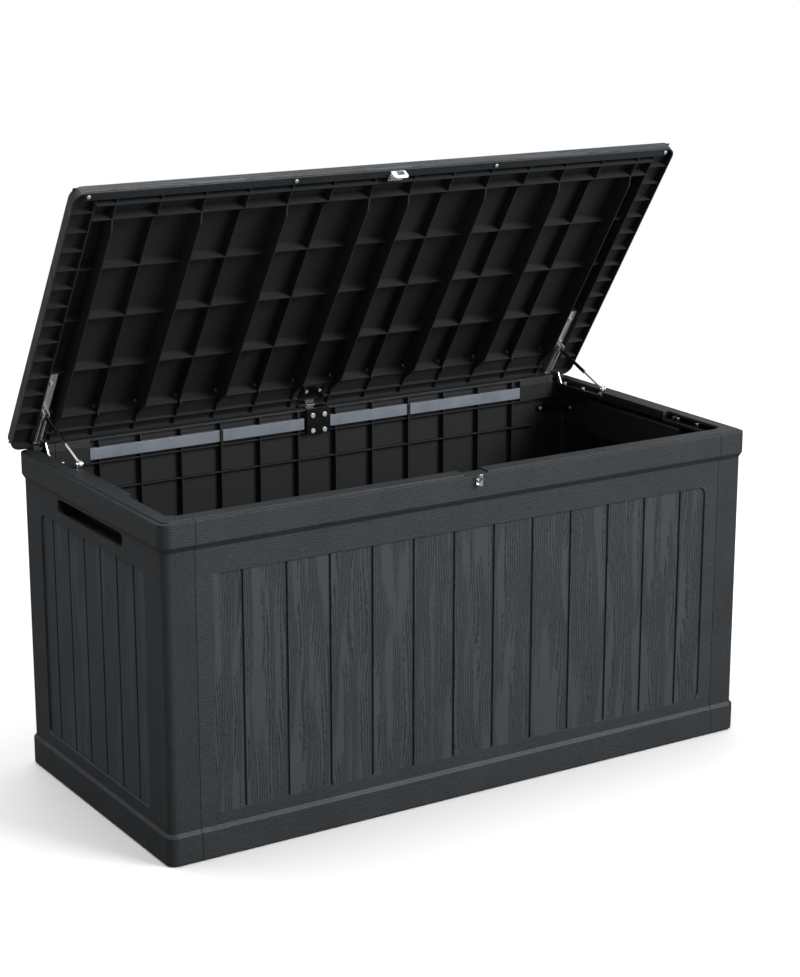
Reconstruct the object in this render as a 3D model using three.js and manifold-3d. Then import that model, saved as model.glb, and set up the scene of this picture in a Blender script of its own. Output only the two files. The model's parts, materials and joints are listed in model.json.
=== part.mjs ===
// Deck storage box: ribbed resin panels, a lid on steel hinges and two gas struts.
// Millimetres, +Z up, +X to the right, +Y to the rear, origin at the centre of the base.
// The lid stands open, held by its struts. Its own group turns about the hinge axis.
import * as THREE from 'three';
import { mergeVertices } from 'three/addons/utils/BufferGeometryUtils.js';
import Module from 'manifold-3d';

const wasm = await Module();
wasm.setup();

// ---------- clearances ----------
const gap = 0.3;                 // between pieces that touch
const running = 0.06;            // radial play of a pin in its hole
const bite = 1;                  // how far a rib runs into the wall that carries it
const swing = 0.5;               // room round a part that turns

// ---------- box ----------
const wallX = 614;               // wall plane, half the length
const wallY = 287;               // wall plane, half the depth
const boxHeight = 605;           // top of the rim at the front
const wallThick = 8;
const cornerRadius = 15;         // upright corners, at the wall plane
const smallRadius = 2;           // least radius of an inner corner
const rimProud = 6;              // the rim band stands out this far
const rimHigh = 43.6;            // height of the rim band at its full width
const rimSlope = 9.8;            // height of the slope under the rim band
const rimRise = 4;               // the rim climbs this much from front to rear
const ledgeDrop = 3.4;           // the outer ledge of the rim lies lower than its middle
const ledgeWide = 8.3;
const skirtProud = 5;
const skirtTop = 51.7;
const skirtSlope = 6;
const skirtChamfer = 3;
const flangeThick = 4.5;         // rim top, folded inwards
const flangeWideX = 43;
const flangeWideFront = 37;
const lipThick = 3;
const lipDrop = 10.5;            // lip under the inner edge of the rim
const seamInset = 58;            // side panels wrap the corners this far

const rimX = wallX + rimProud;
const rimY = wallY + rimProud;
const rimInnerX = rimX - flangeWideX;
const rimInnerFront = -(rimY - flangeWideFront);
const innerX = wallX - wallThick;
const innerY = wallY - wallThick;
const seamX = wallX - seamInset;
const flangeLow = boxHeight - flangeThick;
const ledgeZ = boxHeight - ledgeDrop;
const plateau = rimProud - ledgeWide;   // outline of the raised middle, from the wall plane

// ---------- plank fields ----------
const plankGrooves = 12;         // front and back
const sideGrooves = 6;
const endPlank = 58.5;
const sideEndPlank = 46;
const fieldX = wallX - 88;
const fieldY = wallY - 76;
const fieldLow = 80;
const fieldHigh = boxHeight - 101;
const fieldRadius = 13;
const fieldDeep = 3.8;
const plankGrooveWide = 4.6;
const plankGrooveDeep = 3;
const plankPitch = 2 * (fieldX - endPlank) / (plankGrooves - 1);
const sidePitch = 2 * (fieldY - sideEndPlank) / (sideGrooves - 1);

// ---------- inside of the box ----------
const supportTop = 24;           // the floor lies on this inner ledge
const supportThick = 10;
const supportWide = 12;
const floorThick = 4;
const floorRibDeep = 17;
const footSize = 60;             // feet that carry the middle of the floor
const footPitch = 320;
const wallRibThick = 3;
const wallRibDeep = 12;
const shelfDrop = 92.5;          // topmost level rib inside the panels, below the rim
const shelfPitch = 183;
const tongueWide = 15;           // lap of a side panel behind its neighbour
const tongueThick = 2.5;
const tongueDrop = 74.5;
const shelfHeights = [2, 1, 0].map((i) => boxHeight - shelfDrop - i * shelfPitch);
const ribFrontY = innerY - wallRibDeep;
const floorTop = supportTop + gap + floorThick;
const ribFoot = floorTop + gap;

// ---------- raised strip along the rear of the rim ----------
const upTop = boxHeight + 10.5;
const upThick = 4.5;
const upEndX = rimInnerX + 21;

// ---------- hand-holds ----------
const holdY = 132;
const holdHeight = 26;
const holdDrop = 54.5;           // top of a hand-hold below the top of the rim
const holdRadius = 10;
const houseDeep = 36;            // housing behind a hand-hold
const houseWall = 3;
const houseOver = 11;
const houseTopOver = 31.5;
const holdHigh = boxHeight - holdDrop;
const holdLow = holdHigh - holdHeight;
const houseInnerX = innerX - houseDeep;
const houseY = holdY + houseOver + houseWall;
const houseLow = holdLow - houseOver + bite;
const houseHigh = holdHigh + houseTopOver;
const houseFins = 5;
const finPitch = 60;

// ---------- pockets in the side rims ----------
const pocketLength = 158;
const pocketStart = 6;
const pocketWide = 11;
const pocketShelfThick = 3;
const pocketShelfZ = boxHeight - 18.5;
const pocketY = [rimInnerFront + pocketStart, rimInnerFront + pocketStart + pocketLength];
const pocketOuterX = rimInnerX + pocketWide;
const pocketBossR = 4.5;
const pocketBossX = rimInnerX + 6;
const pocketBossY = [pocketY[1] - 38, pocketY[1] - 96];
const pocketBossTop = pocketShelfZ + 11;

// ---------- notch in the front rim ----------
const notchX = [-19, 27];
const notchSlant = 8;
const notchDeep = 5;
const stepX = [-22, 27.5];       // the raised middle of the rim stops here

// ---------- rear bars ----------
const leafX = 25;                // half the width of the centre hinge
const barX = [leafX + 4.5, fieldX - 39.5];
const barZ = [boxHeight - 30.5, boxHeight - 8.5];
const barFront = ribFrontY + 0.2;
const barDeep = 8.8;
const barThick = 1.5;
const barRibZ = barZ[0] - 9;     // level rib under the bars
const blockLow = barZ[0] - 6;    // smooth blocks beyond the bars
const clipX = 2.5 * plankPitch;
const clipWide = 5.5;
const clipThick = 2.3;

// ---------- hinge line and lid ----------
const hingeY = rimY + 4.5;
const hingeZ = boxHeight + 8.5;
const openAngle = THREE.MathUtils.degToRad(56.7);
const axisV = 9.3;               // lid sizes: u across, v from the rear, w up from the edge
const axisW = 6.1;
const lidOverX = 14;             // the lid overhangs the rim
const lidOverFront = 10;
const lidOverRear = 10.5;
const lidU = rimX + lidOverX;
const lidV = [axisV + hingeY - rimY - lidOverRear, axisV + hingeY + rimY + lidOverFront];
const lidEdge = 19.2;
const lidRadius = 22;
const lidWall = 3;
const crownTop = 36.5;
const crownV = [72, lidV[1] - 62.8];
const crownU = lidU - 44;        // side edge of the raised middle
const columnU = crownU;          // the side frame hangs under it
const topGrooves = 5;
const topGrooveDeep = 1.5;
const cellFloor = 32;
const frontFloor = 22;
const edgeFloor = 16;
const lidRib = 2.5;
const longRibs = 14;
const ribInset = 38.8;           // outermost long rib, in from the side frame
const ribPitch = 2 * (columnU - ribInset) / (longRibs - 1);
const ribLow = -7;               // lower edge of a deep rib
const rearRowV = 62;
const rowShare = [0.2433, 0.5046, 0.7495];   // cross ribs between the rear row and the crown's front edge
const rowV = rowShare.map((share) => rearRowV + share * (crownV[1] - rearRowV));
const rowEdge = 12;
const columnRibs = 13;
const columnV = [rearRowV - 6.6, lidV[1] - 45.6];
const bandRibV = lidV[1] - 28.3;
const bandRibW = -2;             // this rib rests on the rim when the lid is closed
const sideW = 2.2;               // lower edge of the side frame, clear of the rim
const tailV = rearRowV - 16;     // behind this the lid clears the raised strip of the box
const tailW = 10;
const rearStripV = 26;
const railV = [lidV[1] - 16.8, lidV[1] - 0.5];
const railU = lidU - 19;
const railThick = 3;
const housingWall = 2.2;

// ---------- steel hinges and struts ----------
const bracketX = rimInnerX + 1;  // middle plane of each steel hinge
const steel = 1.5;
const stripX = [rimInnerX - 1, rimInnerX + 9.7];
const stripY = [hingeY - 193.5, hingeY - 35.5];
const stripFloor = boxHeight - 6.5;
const stripShelf = 3;
const stripRoomX = rimInnerX + 13.3;
const stripBottom = stripFloor + gap;
const stripTop = stripBottom + steel;
const slotHalf = 8.5;            // slot for a steel hinge in the rear of the rim
const earThick = 3;
const earR = 8.5;
const earFoot = hingeY - 51.5;
const earShoulder = hingeY - 39.5;
const pinR = 3;
const pinHeadR = 4.6;
const pinHead = 1.4;
const cheekIn = 4.1;             // half the slot between the two cheeks of a lid bracket
const plateHalf = 10;
const plateV = [76, 178];
const plateW = [13, 15];
const armW = [3, 9.5];
const armR = 6;
const prongV = 91;
const prongW = -2;
const eyeV = 82;                 // upper end of a strut, on the lid
const eyeW = 2;
const studY = hingeY - 188.5;    // lower end of a strut, on the box
const studZ = hingeZ + 1;
const postX = [bracketX + 6, bracketX + 8];
const postR = 4.5;
const studR = 2.5;
const eyePlay = 0.8;             // between the eye of a strut and a cheek
const eyeHalf = cheekIn - eyePlay;
const rodEyeR = 5.5;
const topEyeR = 4.5;
const rodR = 2.25;
const rodReach = 78;
const tubeR = 3.7;
const tubeLength = 92;
const boreDeep = 60;

// ---------- centre hinge ----------
const leafThick = 2.5;
const leafFront = barFront - 4;
const leafLow = barZ[0] - 8.4;
const leafTopLow = hingeZ - 0.1; // underside of the part that reaches back to the pin
const knuckleR = 5.5;
const centrePinR = 2.4;
const knuckleHalf = 9.7;         // the lid's knuckle, between the two of the box
const centreHead = 1.5;

// ---------- corner braces, staple and hasp ----------
const braceZ = [boxHeight - 65.5, boxHeight - 53.5];
const braceThick = 1.8;
const braceReach = 20;
const braceFold = 22;
const braceEnd = 40;
const stapleX = [-4.2, 3.4];
const stapleTop = boxHeight + 1.5;
const stapleLow = boxHeight - 20.2;
const stapleFoot = 12;
const stapleReach = 12;
const staplePlate = 1.5;
const stapleRim = 1.4;           // metal left beside the padlock slot
const stapleEye = [5, 14.5];     // the slot, down from the top
const haspU = [-19, 11.5];
const haspSlotU = [-9, 6.5];
const haspThick = 1.5;
const haspV = lidV[1] - 3.8;
const haspDrop = 20;
const haspSlotDrop = 12;
const haspLeafV = lidV[1] - 23.8;

// ---------- screws ----------
const headR = 3.6;
const leafHeadR = 5;
const headThick = 2;
const shankR = 1.6;

const X = new THREE.Vector3(1, 0, 0);
const Y = new THREE.Vector3(0, 1, 0);
const Z = new THREE.Vector3(0, 0, 1);

// ---------- solids from three.js geometry ----------
function solid(geometry) {
  geometry.deleteAttribute('normal');
  geometry.deleteAttribute('uv');
  const merged = mergeVertices(geometry, 1e-5);
  const vertProperties = new Float32Array(merged.attributes.position.array);
  const triVerts = new Uint32Array(merged.index.array);
  return new wasm.Manifold(new wasm.Mesh({ numProp: 3, vertProperties, triVerts }));
}

function geometryOf(body) {
  const mesh = body.getMesh();
  const geometry = new THREE.BufferGeometry();
  geometry.setAttribute('position', new THREE.BufferAttribute(mesh.vertProperties, 3));
  geometry.setIndex(new THREE.BufferAttribute(mesh.triVerts, 1));
  geometry.computeVertexNormals();
  return geometry;
}

function join(list) {
  return list.reduce((all, next) => all.add(next));
}

function cut(body, list) {
  return list.length ? body.subtract(join(list)) : body;
}

function block(x, y, z) {
  const box = new THREE.BoxGeometry(x[1] - x[0], y[1] - y[0], z[1] - z[0]);
  box.translate((x[0] + x[1]) / 2, (y[0] + y[1]) / 2, (z[0] + z[1]) / 2);
  return solid(box);
}

function polygon(points) {
  return new THREE.Shape(points.map(([a, b]) => new THREE.Vector2(a, b)));
}

function roundedRect(a, b, radius) {
  const shape = new THREE.Shape();
  const half = Math.PI / 2;
  shape.absarc(a[1] - radius, b[1] - radius, radius, 0, half, false);
  shape.absarc(a[0] + radius, b[1] - radius, radius, half, 2 * half, false);
  shape.absarc(a[0] + radius, b[0] + radius, radius, 2 * half, 3 * half, false);
  shape.absarc(a[1] - radius, b[0] + radius, radius, 3 * half, 4 * half, false);
  shape.closePath();
  return shape;
}

// a shape drawn in (first, second) axes and pulled along the third
function pull(shape, from, to, basis, curveSegments = 3) {
  const geometry = new THREE.ExtrudeGeometry(shape, { depth: to - from, bevelEnabled: false, curveSegments });
  geometry.translate(0, 0, from);
  geometry.applyMatrix4(basis);
  return solid(geometry);
}

const alongX = new THREE.Matrix4().makeBasis(Y, Z, X);
const alongZ = new THREE.Matrix4();
const alongY = new THREE.Matrix4().makeBasis(X, Z, Y.clone().negate());

function pullX(shape, x, segments) { return pull(shape, x[0], x[1], alongX, segments); }
function pullY(shape, y, segments) { return pull(shape, -y[1], -y[0], alongY, segments); }
function pullZ(shape, z, segments) { return pull(shape, z[0], z[1], alongZ, segments); }

function disc(radius, from, to, axis, sides, topRadius = radius) {
  const length = to - from;
  const geometry = new THREE.CylinderGeometry(topRadius, radius, length, sides);
  geometry.translate(0, from + length / 2, 0);
  geometry.applyQuaternion(new THREE.Quaternion().setFromUnitVectors(Y, axis));
  return solid(geometry);
}

function discX(radius, x, y, z, sides = 14) {
  return disc(radius, x[0], x[1], X, sides).translate([0, y, z]);
}

function holeRadius(radius, play, sides) {
  return (radius + play) / Math.cos(Math.PI / sides);
}

function bothSides(range) { return [range, [-range[1], -range[0]]]; }

// ---------- the outer form of the box, cut into panels later ----------
function planSlab(grow, z) {
  const radius = Math.max(cornerRadius + grow, smallRadius);
  const shape = roundedRect([-wallX - grow, wallX + grow], [-wallY - grow, wallY + grow], radius);
  return pullZ(shape, z, 5);
}

// a slab whose outline steps out by a slope at each end
function slopedBand(start, proud, slope, z) {
  const radius = cornerRadius + start;
  const shape = roundedRect([-wallX - start, wallX + start], [-wallY - start, wallY + start], radius);
  const geometry = new THREE.ExtrudeGeometry(shape, {
    depth: z[1] - z[0], bevelEnabled: true, bevelSegments: 1,
    bevelSize: proud, bevelThickness: slope, curveSegments: 5,
  });
  geometry.translate(0, 0, z[0]);
  return solid(geometry);
}

const climb = rimRise / (2 * rimY);
const rising = new THREE.Matrix4().makeShear(0, 0, 0, climb, 0, 0).setPosition(0, 0, climb * rimY);

// the rim climbs towards the rear
function raise(body) {
  return body.transform(rising.elements);
}

const far = wallX * 2;
const openTop = upTop * 1.5;      // well above the box

function outerForm() {
  const wall = planSlab(0, [0, flangeLow]);
  const skirt = slopedBand(0, skirtProud, skirtSlope, [-skirtTop, skirtTop]);
  const inward = skirtProud - skirtChamfer;
  const footprint = slopedBand(inward, skirtChamfer, skirtChamfer, [skirtChamfer, boxHeight]);
  const rim = raise(slopedBand(0, rimProud, rimSlope, [boxHeight - rimHigh, boxHeight + bite]));
  const above = raise(block([-far, far], [-far, far], [boxHeight, openTop]));
  const ledge = raise(planSlab(rimProud + bite, [ledgeZ, openTop]).subtract(planSlab(plateau, [0, openTop])));
  return cut(wall.add(skirt).intersect(footprint).add(rim), [above, ledge]);
}

function hollow() {
  const inner = -wallThick;
  const under = planSlab(inner, [-bite, supportTop - supportThick]);
  const throat = planSlab(inner - supportWide, [-bite, supportTop + bite]);
  const room = planSlab(inner, [supportTop, flangeLow]);
  return [under, throat, room];
}

function topOpening() {
  const top = [flangeLow - bite, openTop];
  const mouth = block([-rimInnerX, rimInnerX], [rimInnerFront, innerY], top);
  const pocket = block([-pocketOuterX, pocketOuterX], pocketY, top);
  const notch = pullZ(polygon([
    [notchX[0], rimInnerFront - notchDeep], [notchX[1], rimInnerFront - notchDeep],
    [notchX[1] + notchSlant, rimInnerFront + bite], [notchX[0] - notchSlant, rimInnerFront + bite],
  ]), top);
  const step = block(stepX, [-rimY - bite, rimInnerFront + bite], [ledgeZ, openTop]);
  return [mouth, pocket, notch, step];
}

function rimLips() {
  const z = [flangeLow - lipDrop, flangeLow + bite];
  const frontY = [rimInnerFront - lipThick, rimInnerFront];
  const cornerX = rimInnerX + lipThick;
  const lips = [
    block([-cornerX, notchX[0] - notchSlant], frontY, z),
    block([notchX[1] + notchSlant, cornerX], frontY, z),
  ];
  for (const x of bothSides([rimInnerX, cornerX])) lips.push(block(x, [pocketY[1], innerY], z));
  return join(lips);
}

// raised strip along the rear: a front lip, a cover and a rear wall
function upstand() {
  const rear = wallY + plateau;
  const cover = block([-upEndX, upEndX], [ribFrontY, rear], [upTop - upThick, upTop]);
  const wall = block([-upEndX, upEndX], [innerY, rear], [flangeLow, upTop]);
  const ends = bothSides([bracketX + slotHalf, upEndX])
    .map((x) => block(x, [ribFrontY, rear], [flangeLow, upTop]));
  return join([cover, wall, ...ends]);
}

// room for the steel hinges: a strip along each side and a slot through the rear
function hingeRooms() {
  const strip = block([-stripRoomX, stripRoomX], [stripY[0] - gap, stripY[1] + gap], [stripFloor, openTop]);
  const slots = bothSides([bracketX - slotHalf, bracketX + slotHalf])
    .map((x) => block(x, [stripY[1], rimY + bite], [ledgeZ, openTop]));
  const plate = block([-leafX - gap, leafX + gap], [ribFrontY - bite, rimY], [leafTopLow - gap, openTop]);
  return [strip, ...slots, plate];
}

const openForm = cut(outerForm(), [...hollow(), ...topOpening()]);
const shell = cut(openForm.add(join([rimLips(), upstand()])), hingeRooms());

function slice(x, y) {
  return shell.intersect(block(x, y, [-bite, openTop]));
}

// ---------- front and back panels ----------
function grooveCentres(count, pitch) {
  return Array.from({ length: count }, (_, i) => (i - (count - 1) / 2) * pitch);
}

function plankField(halfWidth, centres) {
  const surface = [-wallY - skirtProud, -wallY + fieldDeep];
  const field = pullY(roundedRect([-halfWidth, halfWidth], [fieldLow, fieldHigh], fieldRadius), surface, 3);
  const deep = [-wallY, -wallY + fieldDeep + plankGrooveDeep];
  const half = plankGrooveWide / 2;
  const grooves = centres.map((x) => block([x - half, x + half], deep, [fieldLow, fieldHigh]));
  return join([field, ...grooves]);
}

// ribs of a panel that lies along X, drawn for the front one
function longPanelRibs(top, levels) {
  const y = [-innerY - bite, -ribFrontY];
  const half = wallRibThick / 2;
  const ribs = grooveCentres(plankGrooves, plankPitch)
    .map((x) => block([x - half, x + half], y, [ribFoot, top]));
  for (const z of levels) ribs.push(block([-fieldX, fieldX], [y[0], y[1] - half], [z, z + wallRibThick]));
  return join(ribs);
}

function frontPanel() {
  const body = slice([-seamX + gap / 2, seamX - gap / 2], [-wallX, 0]);
  const ribs = longPanelRibs(flangeLow + bite, shelfHeights);
  return cut(body, [plankField(fieldX, grooveCentres(plankGrooves, plankPitch))]).add(ribs);
}

// smooth block beyond the end of a bar, hollow and open below
function endBlock(x, top) {
  const outer = block(x, [ribFrontY, innerY + bite], [blockLow, top]);
  const wall = wallRibThick;
  const inside = [blockLow - bite, top - wall];
  return outer.subtract(block([x[0] + wall, x[1] - wall], [ribFrontY + wall, innerY], inside));
}

function backPanel() {
  const edge = seamX - gap / 2;
  const body = slice([-edge, edge], [0, wallX]);
  const field = plankField(fieldX, grooveCentres(plankGrooves, plankPitch)).rotate([0, 0, 180]);
  const ribs = longPanelRibs(upTop - upThick + bite, [...shelfHeights, barRibZ]).rotate([0, 0, 180]);
  const hingeBlock = block([-leafX - gap, leafX + gap], [leafFront + leafThick + gap, innerY + bite],
    [leafLow, leafTopLow - gap]);
  const room = bothSides([barX[0] - gap, barX[1] + gap]).map((x) => block(x,
    [ribFrontY - bite, barFront + barDeep + gap], [barZ[0] - gap, barZ[1] + gap]));
  const plateRoom = block([-leafX - gap, leafX + gap], [0, rimY], [leafTopLow - gap, openTop]);
  const ends = bothSides([barX[1] + gap, edge]).map((x) => endBlock(x, upTop - upThick + bite));
  return cut(cut(body, [field]).add(ribs), [...room, plateRoom]).add(join([hingeBlock, ...ends]));
}

// ---------- side panels, drawn for the right one ----------
function holdHousing() {
  const outer = block([houseInnerX, innerX + bite], [-houseY, houseY], [houseLow, houseHigh]);
  const half = wallRibThick / 2;
  const fins = grooveCentres(houseFins, finPitch).map((y) => {
    const top = y > stripY[0] - stripShelf ? stripFloor : flangeLow + 2 * bite;
    return block([rimInnerX, innerX + bite], [y - half, y + half], [houseHigh - bite, top - bite]);
  });
  return join([outer, ...fins]);
}

function holdRoom() {
  const wall = houseWall;
  const room = block([houseInnerX + wall, innerX + wall], [-houseY + wall, houseY - wall],
    [houseLow + wall, houseHigh - wall]);
  const mouth = pullX(roundedRect([-holdY, holdY], [holdLow, holdHigh], holdRadius),
    [innerX - bite, wallX + skirtProud * 2], 3);
  return [room.subtract(block([innerX, wallX], [-wallY, wallY], [0, boxHeight])), mouth];
}

function rimPocket() {
  const floorZ = [pocketShelfZ, pocketShelfZ + pocketShelfThick];
  const y = [rimInnerFront - lipThick, pocketY[1] + bite];
  const lipX = [rimInnerX - 2 * bite, rimInnerX + bite];
  const shelf = block([lipX[0], innerX + bite], y, floorZ);
  const lip = block(lipX, y, [pocketShelfZ, floorZ[1] + pocketShelfThick]);
  const bosses = pocketBossY.map((at) => disc(pocketBossR, floorZ[0], pocketBossTop, Z, 12)
    .translate([pocketBossX, at, 0]));
  const end = block([rimInnerX, innerX + bite], [pocketY[1], pocketY[1] + lipThick], [pocketShelfZ, ledgeZ]);
  return join([shelf, lip, ...bosses, end]);
}

// tray under the strip of a steel hinge
function stripTray() {
  const y = [stripY[0] - gap, stripY[1] + gap];
  const t = stripShelf;
  const deep = [stripFloor - t, stripFloor];
  const wallZ = [stripFloor - t, flangeLow + bite];
  const x = [rimInnerX, stripRoomX + t];
  return join([
    block(x, [y[0] - t, y[1] + t], deep),
    block(x, [y[0] - t, y[0]], wallZ),
    block(x, [y[1], y[1] + t], wallZ),
    block([stripRoomX, x[1]], y, wallZ),
  ]);
}

function sideRibs() {
  const x = [innerX - wallRibDeep, innerX + bite];
  const half = wallRibThick / 2;
  const ribs = [];
  for (const y of grooveCentres(sideGrooves, sidePitch)) {
    const top = Math.abs(y) < houseY ? houseLow + bite : flangeLow + bite;
    const clear = y < pocketY[1] && Math.abs(y) > houseY ? pocketShelfZ + bite : top;
    ribs.push(block(x, [y - half, y + half], [ribFoot, clear]));
  }
  for (const z of shelfHeights.slice(0, 2)) {
    ribs.push(block([x[0] + half, x[1]], [-fieldY, fieldY], [z, z + wallRibThick]));
  }
  return join(ribs);
}

function tongues() {
  const x = [seamX - tongueWide, seamX + 2 * bite];
  const z = [ribFoot, boxHeight - tongueDrop];
  const outer = innerY - gap;
  const inner = outer - tongueThick;
  const laps = bothSides([inner, outer]).map((y) => block(x, y, z));
  const roots = bothSides([inner, innerY + bite]).map((y) => block([seamX + gap, seamX + 4 * bite], y, z));
  return join([...laps, ...roots]);
}

// the smooth block carries on across the corner, lower where the steel hinge passes
function cornerBlock() {
  const edge = seamX + gap / 2;
  const low = block([edge, stripRoomX], [ribFrontY, innerY + bite], [blockLow, flangeLow + bite]);
  const high = block([edge, bracketX - slotHalf], [ribFrontY, innerY + bite], [flangeLow, upTop - bite]);
  const wall = wallRibThick;
  const inside = [blockLow - bite, flangeLow - wall];
  const room = block([edge + wall, stripRoomX - wall], [ribFrontY + wall, innerY], inside);
  return low.add(high).subtract(room);
}

function sidePanel() {
  const body = slice([seamX + gap / 2, far], [-wallX, wallX]);
  const field = plankField(fieldY, grooveCentres(sideGrooves, sidePitch)).rotate([0, 0, 90])
    .translate([wallX - wallY, 0, 0]);
  const inside = join([holdHousing(), rimPocket(), stripTray(), sideRibs(), tongues(), cornerBlock()]);
  return cut(cut(body, [field]).add(inside), holdRoom());
}

// ---------- floor ----------
function floorPanel() {
  const inset = wallThick + gap;
  const slab = planSlab(-inset, [supportTop + gap, floorTop]);
  const reachX = innerX - supportWide - gap;
  const reachY = innerY - supportWide - gap;
  const z = [supportTop + gap - floorRibDeep, supportTop + gap + bite];
  const half = wallRibThick / 2;
  const along = grooveCentres(3, 2 * reachY / 3.6)
    .map((y) => block([-reachX, reachX], [y - half, y + half], z));
  const across = grooveCentres(4, 2 * reachX / 4.6)
    .map((x) => block([x - half, x + half], [-reachY, reachY], z));
  const feet = grooveCentres(3, footPitch).map((x) => block([x - footSize / 2, x + footSize / 2],
    [-footSize / 2, footSize / 2], [0, supportTop + gap + bite]));
  return join([slab, ...along, ...across, ...feet]);
}

// ---------- bars, clips and braces, drawn for the right side ----------
function rearBar() {
  const back = barFront + barDeep;
  const web = barFront + barThick;
  const channel = polygon([
    [barFront, barZ[0]], [back, barZ[0]], [back, barZ[0] + barThick], [web, barZ[0] + barThick],
    [web, barZ[1] - barThick], [back, barZ[1] - barThick], [back, barZ[1]], [barFront, barZ[1]],
  ]);
  return pullX(channel, barX);
}

function barClip() {
  const back = ribFrontY - gap;
  const x = [clipX - clipWide / 2, clipX + clipWide / 2];
  return block(x, [back - clipThick, back], [barRibZ - 2, barZ[1] + gap]);
}

function cornerBrace() {
  const back = innerY - gap;
  const side = innerX - gap;
  const t = braceThick;
  const bend = [[seamX - 2, back], [side, back - braceFold]];
  const strap = polygon([
    [seamX - braceReach, back], bend[0], bend[1], [side, back - braceEnd],
    [side - t, back - braceEnd], [side - t, bend[1][1] - t * 0.5], [bend[0][0] - t * 0.3, back - t],
    [seamX - braceReach, back - t],
  ]);
  return pullZ(strap, braceZ);
}

// ---------- staple on the front rim ----------
function staple() {
  const face = -rimY - gap;
  const front = face - stapleReach;
  const t = staplePlate;
  const profile = polygon([
    [face, stapleLow], [face, stapleLow + stapleFoot], [face - t, stapleLow + stapleFoot],
    [face - t, stapleLow + t], [front + t, stapleLow + t], [front + t, stapleTop],
    [front, stapleTop], [front, stapleLow],
  ]);
  const eyeX = [stapleX[0] + stapleRim, stapleX[1] - stapleRim];
  const eye = pullY(roundedRect(eyeX, [stapleTop - stapleEye[1], stapleTop - stapleEye[0]], 2.3),
    [front - bite, front + t + bite], 2);
  return pullX(profile, stapleX).subtract(eye);
}

// ---------- steel hinge on the box, drawn for the right side ----------
function boxBracket() {
  const strip = block(stripX, stripY, [stripBottom, stripTop]);
  const earX = [bracketX - earThick / 2, bracketX + earThick / 2];
  const crest = hingeZ + earR;
  const over = ledgeZ + gap + 0.2;
  const ear = pullX(polygon([
    [earFoot, stripBottom], [earFoot, stripTop], [earShoulder, crest], [hingeY, crest],
    [hingeY, hingeZ - earR], [rimY, over], [stripY[1], over], [stripY[1] - gap, stripBottom],
  ]), earX);
  const ring = discX(earR, earX, hingeY, hingeZ, 20);
  const post = block(postX, [studY - postR, studY + postR], [stripBottom, studZ]);
  const cap = discX(postR, postX, studY, studZ, 14);
  const stud = discX(studR, [bracketX - eyeHalf - 1, bracketX + 7], studY, studZ, 12);
  const head = discX(studR + 1.1, [bracketX - eyeHalf - 2, bracketX - eyeHalf - 0.4], studY, studZ, 12);
  const bore = discX(holeRadius(pinR, running, 14), [earX[0] - bite, earX[1] + bite], hingeY, hingeZ);
  return join([strip, ear, ring, post, cap, stud, head]).subtract(bore);
}

const pinReach = cheekIn + steel + gap;

function hingePin() {
  const shaft = discX(pinR, [bracketX - pinReach - pinHead, bracketX + pinReach + pinHead], hingeY, hingeZ);
  const heads = bothSides([pinReach, pinReach + pinHead])
    .map((x) => discX(pinHeadR, [bracketX + x[0], bracketX + x[1]], hingeY, hingeZ, 14));
  return join([shaft, ...heads]);
}

// ---------- centre hinge ----------
function knuckle(x) {
  return discX(knuckleR, x, hingeY, hingeZ, 16);
}

function boxLeaf() {
  const t = leafThick;
  const top = leafTopLow + t;
  const plate = pullX(polygon([
    [leafFront, leafLow], [leafFront + t, leafLow], [leafFront + t, leafTopLow],
    [hingeY - knuckleR - swing, leafTopLow], [hingeY - knuckleR - swing, top], [leafFront, top],
  ]), [-leafX, leafX]);
  const parts = [plate];
  for (const x of bothSides([knuckleHalf + gap, leafX])) {
    parts.push(knuckle(x));
    parts.push(block(x, [hingeY - knuckleR - 2 * bite, hingeY], [leafTopLow, top]));
  }
  return join(parts).subtract(centreBore());
}

function centreBore() {
  return discX(holeRadius(centrePinR, running, 12), [-leafX - bite, leafX + bite], hingeY, hingeZ, 12);
}

function centrePin() {
  const reach = leafX + gap;
  const shaft = discX(centrePinR, [-reach - centreHead, reach + centreHead], hingeY, hingeZ, 12);
  const heads = bothSides([reach, reach + centreHead])
    .map((x) => discX(centrePinR + 1.2, x, hingeY, hingeZ, 12));
  return join([shaft, ...heads]);
}

// ---------- lid, in its own frame with the hinge axis as origin ----------
function v(value) { return axisV - value; }
function w(value) { return value - axisW; }
function lidBlock(u, vv, ww) { return block(u, [v(vv[1]), v(vv[0])], [w(ww[0]), w(ww[1])]); }
function lidProfile(points) { return polygon(points.map(([a, b]) => [v(a), w(b)])); }

function lidOuter() {
  const plan = roundedRect([-lidU, lidU], [v(lidV[1]), v(lidV[0])], lidRadius);
  const slab = pullZ(plan, [w(0), w(lidEdge)], 5);
  const start = lidEdge - bite;
  const ridge = pullX(lidProfile([[lidV[0] + 2, start], [crownV[0], crownTop], [crownV[1], crownTop],
    [lidV[1] - 2, start]]), [-lidU, lidU]);
  const gable = pullY(polygon([[-lidU + 4, w(start)], [lidU - 4, w(start)], [crownU - 8, w(crownTop)],
    [-crownU + 8, w(crownTop)]]), [v(lidV[1]), v(lidV[0])]);
  return slab.add(ridge.intersect(gable));
}

// what the walls leave free, rounded with them at the corners
function lidRoom() {
  const plan = roundedRect([-lidU + lidWall, lidU - lidWall], [v(lidV[1] - lidWall), v(lidV[0] + lidWall)],
    lidRadius - lidWall);
  return pullZ(plan, [w(-2 * bite), w(crownTop)]);
}

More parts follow.
